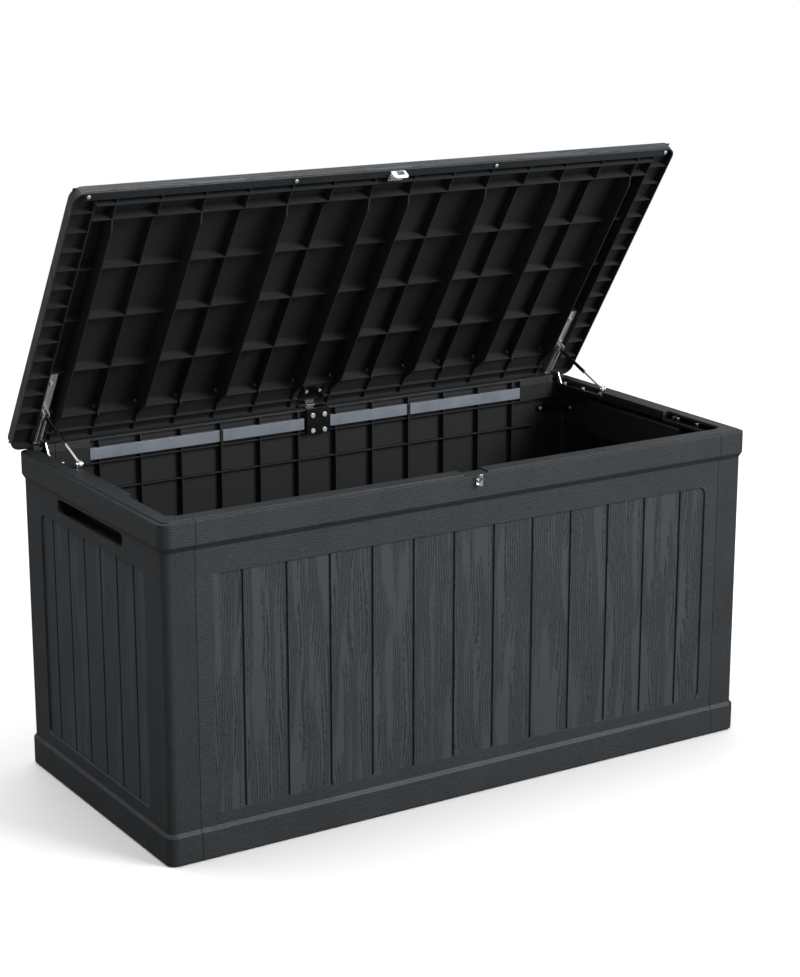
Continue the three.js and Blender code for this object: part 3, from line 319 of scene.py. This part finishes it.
def lidAreas(tree, place, x, y, z):
    # the lid is stored open: turned back about its hinge, its planks run along X
    turned = addNode(tree, "VectorRotate", {"rotation_type": "X_AXIS", "Center": tuple(hingeAt),
        "Angle": openAngle}, {"Vector": place.outputs["Object"]})
    flat = addNode(tree, "SeparateXYZ", None, {0: turned})
    faces = addNode(tree, "VectorRotate", {"rotation_type": "X_AXIS", "Angle": openAngle},
        {"Vector": place.outputs["Normal"]})
    faces = addNode(tree, "SeparateXYZ", None, {0: faces})
    plank = addNode(tree, "Math", {"operation": "DIVIDE", 1: lidForm["plank"]}, {0: flat.outputs[1]})
    plank = addNode(tree, "Math", {"operation": "FLOOR"}, {0: plank})
    seed = addNode(tree, "Math", {"operation": "MULTIPLY", 1: lidForm["seedStep"]}, {0: plank})
    # grain on what faces up and on the outer rim of the lid
    up = addNode(tree, "Math", {"operation": "GREATER_THAN", 1: lidForm["facesUp"]},
        {0: faces.outputs[2]})
    high = addNode(tree, "Math", {"operation": "GREATER_THAN", 1: hingeAt.z + lidForm["skin"]},
        {0: flat.outputs[2]})
    top = addNode(tree, "Math", {"operation": "MULTIPLY"}, {0: up, 1: high})
    out = addNode(tree, "Math", {"operation": "ABSOLUTE"}, {0: flat.outputs[0]})
    out = addNode(tree, "Math", {"operation": "GREATER_THAN", 1: lidForm["side"]}, {0: out})
    ahead = addNode(tree, "Math", {"operation": "LESS_THAN", 1: hingeAt.y - lidForm["front"]},
        {0: flat.outputs[1]})
    behind = addNode(tree, "Math", {"operation": "GREATER_THAN", 1: hingeAt.y + lidForm["rear"]},
        {0: flat.outputs[1]})
    for other in (out, ahead, behind):
        top = addNode(tree, "Math", {"operation": "MAXIMUM"}, {0: top, 1: other})
    # the rest is the lid's inside, which takes its painted shade colour
    inside = addNode(tree, "Math", {"operation": "SUBTRACT", 0: 1.0}, {1: top})
    across = addNode(tree, "Math", {"operation": "ADD"}, {0: flat.outputs[1], 1: flat.outputs[2]})
    return [(1.0, across, flat.outputs[0], seed, "plank")], inside


def railAreas(tree, place, x, y, z):
    return [(1.0, z, x, 4.0, "rail")], None


hardwareTone = (0.3, 0.7)            # clouding that takes the deep colour, and the pale one


def hardware(name, look):
    # plated, coated or painted steel and the clips: fine marks, drawn out on rolled strip, and faint
    # clouding. Marks and clouds are counted per metre.
    material, tree, shader = newMaterial(name)
    place = addNode(tree, "TexCoord").outputs["Object"]
    drawn = addNode(tree, "Mapping", {"Scale": look["marks"]}, {"Vector": place})
    marks = addNode(tree, "TexNoise", {"Scale": 1.0, "Detail": 3.0, "Roughness": 0.6}, {"Vector": drawn})
    cloud = addNode(tree, "TexNoise", {"Scale": look["cloud"], "Detail": 3.0}, {"Vector": place})
    tone = addNode(tree, "MapRange", {"From Min": hardwareTone[0], "From Max": hardwareTone[1]},
        {"Value": cloud})
    colour = addNode(tree, "Mix", {"data_type": "RGBA", 6: linear(look["deep"]), 7: linear(look["pale"])},
        {0: tone})
    rough = addNode(tree, "Math", {"operation": "MULTIPLY_ADD", 1: look["roughness"][1],
        2: look["roughness"][0]}, {0: marks})
    bump = addNode(tree, "Bump", {"Strength": 1.0, "Distance": look["relief"]}, {"Height": marks})
    shader.inputs["Metallic"].default_value = look["metallic"]
    if look["metallic"] < 1:
        shader.inputs["IOR"].default_value = look["ior"]
    tree.links.new(colour.outputs[2], shader.inputs["Base Color"])
    tree.links.new(rough.outputs[0], shader.inputs["Roughness"])
    tree.links.new(bump.outputs[0], shader.inputs["Normal"])
    return material


hardwareLooks = {
    # galvanised strip with a clear grey coat: soft, slightly blue, rolling lines along its length
    "barSteel": {"deep": "#7b828b", "pale": "#8a919a", "metallic": 0.25, "ior": 1.5,
                 "roughness": (0.34, 0.12), "marks": (12, 900, 900), "cloud": 24, "relief": 0.02e-3},
    # zinc-plated pressed steel: bright, with faint rolling lines
    "zinc": {"deep": "#d6d8da", "pale": "#ececed", "metallic": 0.5, "ior": 1.5,
             "roughness": (0.3, 0.14), "marks": (700, 60, 700), "cloud": 60, "relief": 0.01e-3},
    # nickel-plated screws, staple and hasp: bright satin
    "plated": {"deep": "#d9dadb", "pale": "#f0f0f0", "metallic": 0.6, "ior": 1.5,
               "roughness": (0.26, 0.12), "marks": (400, 400, 400), "cloud": 60, "relief": 0.006e-3},
    # hard chrome on a ground rod: very bright, hardly uneven
    "chrome": {"deep": "#e4e5e6", "pale": "#f2f2f2", "metallic": 0.5, "ior": 1.5,
               "roughness": (0.12, 0.1), "marks": (400, 400, 400), "cloud": 40, "relief": 0.004e-3},
    # chromed pressed steel: mirror with a light haze
    "mirrorSteel": {"deep": "#c2c5c8", "pale": "#d6d8da", "metallic": 1.0,
                    "roughness": (0.14, 0.1), "marks": (700, 60, 700), "cloud": 60, "relief": 0.006e-3},
    # black powder coat: slight orange peel, about 1.2 mm across
    "powderBlack": {"deep": "#0b0c0d", "pale": "#121314", "metallic": 0.0, "ior": 1.5,
                    "roughness": (0.2, 0.12), "marks": (800, 800, 800), "cloud": 50, "relief": 0.03e-3},
    # black stove enamel on a drawn tube: glossy
    "strutEnamel": {"deep": "#0c0d0e", "pale": "#131416", "metallic": 0.0, "ior": 1.53,
                    "roughness": (0.16, 0.1), "marks": (500, 500, 500), "cloud": 40, "relief": 0.01e-3},
    # black acetal clip: satin
    "clipBlack": {"deep": "#111213", "pale": "#191a1b", "metallic": 0.0, "ior": 1.48,
                  "roughness": (0.38, 0.12), "marks": (600, 600, 600), "cloud": 50, "relief": 0.01e-3},
}

finishes = {name: hardware(name, look) for name, look in hardwareLooks.items()}
finishes["resinFront"] = grainedResin("resinFront", frontAreas)
finishes["resinSide"] = grainedResin("resinSide", sideAreas)
# the lid's inside has its own painted shade, paler than that inside the box
finishes["resinLid"] = grainedResin("resinLid", lidAreas, dict(resinLook, inside="#1a1c1e"))
finishes["resinRail"] = grainedResin("resinRail", railAreas)
finishes["resinSmooth"] = smoothResin("resinSmooth")
print("materials made:", len(finishes))

# by the start of the node's name, and for the other nodes by their slot
finishByName = {
    "front_panel": "resinFront", "back_panel": "resinFront", "left_panel": "resinSide",
    "right_panel": "resinSide", "lid_shell": "resinLid", "lid_front_rail": "resinRail",
    "floor_panel": "resinSmooth", "side_bracket": "mirrorSteel", "staple": "mirrorSteel",
    "pocket_screw": "mirrorSteel",
}
finishBySlot = {
    "bar_steel": "barSteel", "clip_plastic": "clipBlack", "black_steel": "powderBlack",
    "bracket_steel": "zinc", "pin_chrome": "plated", "rod_chrome": "chrome", "strut_black": "strutEnamel",
    "lock_chrome": "plated", "screw_chrome": "plated",
}


def finishOf(name):
    byName = [finish for start, finish in finishByName.items() if name.startswith(start)]
    return finishes[byName[0] if byName else finishBySlot[slotOf[name]]]


for name, node in nodes.items():
    node.data.materials.clear()
    node.data.materials.append(finishOf(name))
print("CAD nodes dressed")


# width of the rounding in metres and its segments, by the start of the node's name
rounding = {"front_panel": (0.9e-3, 2), "back_panel": (0.9e-3, 2), "left_panel": (0.9e-3, 2),
            "right_panel": (0.9e-3, 2), "lid_shell": (0.2e-3, 1), "lid_front_rail": (0.6e-3, 2),
            "floor_panel": (0.6e-3, 1), "rear_bar": (0.5e-3, 2), "bar_clip": (0.3e-3, 2),
            "corner_brace": (0.25e-3, 2), "side_bracket": (0.25e-3, 2), "lid_bracket": (0.25e-3, 2),
            "hasp": (0.25e-3, 2), "staple": (0.25e-3, 2), "centre_hinge": (0.3e-3, 2),
            "hinge_pin": (0.3e-3, 2), "strut_rod": (0.3e-3, 2), "strut_cylinder": (0.3e-3, 2)}
softening = {"merge": 2e-6,          # metres between corners that are one
             "flat": 0.4,            # degrees between faces that are one
             "sharp": 18,            # edges sharper than this are rounded
             "smooth": 32,           # and those sharper than this shade as edges
             "flatWeight": 100}      # how far the large faces lead the shading


def softCopy(name, width, segments):
    # a merged copy of a CAD node with its sharp edges rounded
    mesh = nodes[name].data.copy()
    mesh.transform(nodes[name].matrix_world)
    piece = bpy.data.objects.new(name + "Soft", mesh)
    bpy.context.scene.collection.objects.link(piece)
    pick(piece)
    bpy.ops.object.mode_set(mode="EDIT")
    bpy.ops.mesh.select_all(action="SELECT")
    bpy.ops.mesh.remove_doubles(threshold=softening["merge"])
    if name != "lid_shell":
        bpy.ops.mesh.dissolve_limited(angle_limit=math.radians(softening["flat"]))
    bpy.ops.mesh.normals_make_consistent(inside=False)
    bpy.ops.object.mode_set(mode="OBJECT")
    edge = piece.modifiers.new("roundEdges", "BEVEL")
    edge.width = width
    edge.segments = segments
    edge.limit_method = "ANGLE"
    edge.angle_limit = math.radians(softening["sharp"])
    edge.use_clamp_overlap = False
    edge.miter_outer = "MITER_ARC"
    applyModifiers(piece)
    bpy.ops.object.shade_smooth_by_angle(angle=math.radians(softening["smooth"]))
    # large flat faces stay flat beside their rounded edges
    flat = piece.modifiers.new("flatFaces", "WEIGHTED_NORMAL")
    flat.keep_sharp = True
    flat.weight = softening["flatWeight"]
    applyModifiers(piece)
    dress(piece, finishOf(name), name)


for name in nodes:
    for start, (width, segments) in rounding.items():
        if name.startswith(start) and "_screw" not in name:
            softCopy(name, width, segments)
print("edges rounded")


# pan heads with a cross recess, lengths in metres
screwLook = {
    "headHigh": 2.0e-3, "shankR": 1.6e-3, "sides": 28,
    "domeShare": 0.3, "domeSteps": 3, "domeFrom": 60,             # rounding of the head, from this angle
    "slotLong": 1.15, "slotWide": 0.3, "slotDeep": 0.55,          # shares of the radius and of the height
    "tipShare": 0.5, "smooth": 30,
    "flatFrom": 0.9,                                              # how straight down its lower face looks
    "rimDepth": 1e-5,                                             # corners this near the top are its rim
    "turn": 1.1,                                                  # radians from one recess to the next
}
lidDown = Matrix.Rotation(-openAngle, 3, "X") @ Vector((0, 0, -1))
# way out of the hole, by the start of the name
screwWays = {"hinge_screw": (0, -1, 0), "bracket_screw": (0, 0, 1), "pocket_screw": (0, 0, 1),
             "brace_screw_left_back": (0, -1, 0), "brace_screw_right_back": (0, -1, 0),
             "brace_screw_left_side": (1, 0, 0), "brace_screw_right_side": (-1, 0, 0),
             "staple_screw": (0, -1, 0), "lid_bracket_screw": lidDown, "leaf_screw": lidDown,
             "rail_screw": lidDown, "hasp_screw": lidDown}


def screwMesh(radius, shankLong):
    # drawn with the top of its head at the origin, the shank along -Z
    headHigh = screwLook["headHigh"]
    clearSelection()
    bpy.ops.mesh.primitive_cylinder_add(vertices=screwLook["sides"], radius=radius, depth=headHigh,
        location=(0, 0, -headHigh / 2))
    piece = bpy.context.object
    bpy.ops.object.mode_set(mode="EDIT")
    bpy.ops.mesh.select_mode(type="FACE")
    bpy.ops.mesh.select_all(action="DESELECT")
    bpy.ops.object.mode_set(mode="OBJECT")
    for face in piece.data.polygons:
        face.select = abs(face.normal.z) > screwLook["flatFrom"] and face.center.z < -headHigh / 2
    bpy.ops.object.mode_set(mode="EDIT")
    bpy.ops.mesh.inset(thickness=radius - screwLook["shankR"])
    bpy.ops.mesh.extrude_region_move(TRANSFORM_OT_translate={"value": (0, 0, -shankLong)})
    bpy.ops.mesh.inset(thickness=screwLook["shankR"] * screwLook["tipShare"])
    bpy.ops.object.mode_set(mode="OBJECT")
    dome = piece.modifiers.new("dome", "BEVEL")
    dome.width = headHigh * screwLook["domeShare"]
    dome.segments = screwLook["domeSteps"]
    dome.limit_method = "ANGLE"
    dome.angle_limit = math.radians(screwLook["domeFrom"])
    applyModifiers(piece)
    long = radius * screwLook["slotLong"]
    wide = radius * screwLook["slotWide"]
    deep = headHigh * screwLook["slotDeep"]
    bars = []
    for size in ((long, wide, 2 * deep), (wide, long, 2 * deep)):
        clearSelection()
        bpy.ops.mesh.primitive_cube_add(size=1, scale=size)
        bars.append(bpy.context.object)
        cut = piece.modifiers.new("slot", "BOOLEAN")
        cut.object = bars[-1]
        cut.operation = "DIFFERENCE"
        cut.solver = "EXACT"
    applyModifiers(piece)
    for bar in bars:
        bpy.data.objects.remove(bar)
    pick(piece)
    bpy.ops.object.shade_smooth_by_angle(angle=math.radians(screwLook["smooth"]))
    mesh = piece.data.copy()
    bpy.data.objects.remove(piece)
    return mesh


def measureScrew(name):
    # way out of the hole, top of the head, radius of the head and whole length, from the CAD node
    way = Vector(next(w for start, w in screwWays.items() if name.startswith(start)))
    points = [nodes[name].matrix_world @ v.co for v in nodes[name].data.vertices]
    reach = [p.dot(way) for p in points]
    high, low = max(reach), min(reach)
    rim = [p for p, r in zip(points, reach) if r > high - screwLook["rimDepth"]]
    top = sum(rim, Vector()) / len(rim)
    radius = max((p - top - way * (p - top).dot(way)).length for p in points)
    return way, top, radius, high - low


screwMeshes = {}
for number, name in enumerate(sorted(n for n in nodes if "_screw" in n)):
    way, top, radius, long = measureScrew(name)
    key = (round(radius * 1e4), round(long * 1e4))
    if key not in screwMeshes:
        screwMeshes[key] = screwMesh(radius, long - screwLook["headHigh"])
    mesh = screwMeshes[key].copy()
    spin = Matrix.Rotation(number * screwLook["turn"], 4, "Z")
    mesh.transform(Matrix.Translation(top) @ way.to_track_quat("Z", "Y").to_matrix().to_4x4() @ spin)
    piece = bpy.data.objects.new(name + "Pan", mesh)
    bpy.context.scene.collection.objects.link(piece)
    dress(piece, finishOf(name), name)
for mesh in screwMeshes.values():
    bpy.data.meshes.remove(mesh)
print("screws made")


studio = {"room": 0.42, "floor": "#ededed", "floorBounce": "#666666", "floorRoughness": 0.9,
          "floorSize": 7.2, "floorAt": (0, -0.7, -0.0005), "aimAt": (0, 0, 0.45),
          "lamps": [("keyLamp", (3.4, -5.4, 4.2), 3.0, 440.0), ("fillLamp", (2.2, -5.6, 0.9), 3.0, 80.0),
                    ("topLamp", (-0.5, 1.6, 6.2), 7.5, 500.0)]}

clearSelection()
bpy.ops.mesh.primitive_plane_add(size=studio["floorSize"], location=studio["floorAt"])
floor = bpy.context.object
floor.name = "studioFloor"
floorPaint, floorTree, floorShader = newMaterial("floorPaint")
# white to look at, a dimmer grey in what it throws back on the object
floorSeen = addNode(floorTree, "LightPath").outputs["Is Camera Ray"]
floorTone = addNode(floorTree, "Mix", {"data_type": "RGBA", 6: linear(studio["floorBounce"]),
    7: linear(studio["floor"])}, {0: floorSeen})
floorTree.links.new(floorTone.outputs[2], floorShader.inputs["Base Color"])
floorShader.inputs["Roughness"].default_value = studio["floorRoughness"]
floor.data.materials.append(floorPaint)

world = bpy.data.worlds.new("studioWorld")
bpy.context.scene.world = world
world.use_nodes = True
paper = world.node_tree.nodes["Background"]
paper.inputs["Color"].default_value = (1, 1, 1, 1)
# white paper behind the object, a dimmer room around it
seen = addNode(world.node_tree, "LightPath").outputs["Is Camera Ray"]
strength = addNode(world.node_tree, "Mix", {"data_type": "FLOAT", 2: studio["room"], 3: 1.0}, {0: seen})
world.node_tree.links.new(strength.outputs[0], paper.inputs["Strength"])


def addLamp(name, at, size, power):
    lamp = bpy.data.lights.new(name, "AREA")
    lamp.shape = "SQUARE"
    lamp.size = size
    lamp.energy = power
    holder = bpy.data.objects.new(name, lamp)
    bpy.context.scene.collection.objects.link(holder)
    holder.location = at
    holder.rotation_euler = (Vector(studio["aimAt"]) - Vector(at)).to_track_quat("-Z", "Y").to_euler()


for lamp in studio["lamps"]:
    addLamp(*lamp)

view = {"at": (-2.1597, -3.4582, 1.6031), "turn": 0.56311, "tilt": -0.26164,
        "lens": 101.247, "sensor": 36}
cameraData = bpy.data.cameras.new("studioCamera")
cameraData.sensor_fit = "HORIZONTAL"
cameraData.sensor_width = view["sensor"]
cameraData.lens = view["lens"]
camera = bpy.data.objects.new("studioCamera", cameraData)
bpy.context.scene.collection.objects.link(camera)
camera.location = view["at"]
camera.rotation_euler = (math.pi / 2 + view["tilt"], 0, -view["turn"])
bpy.context.scene.camera = camera
bpy.context.scene.view_settings.view_transform = "Standard"
print("floor, lights and camera set")
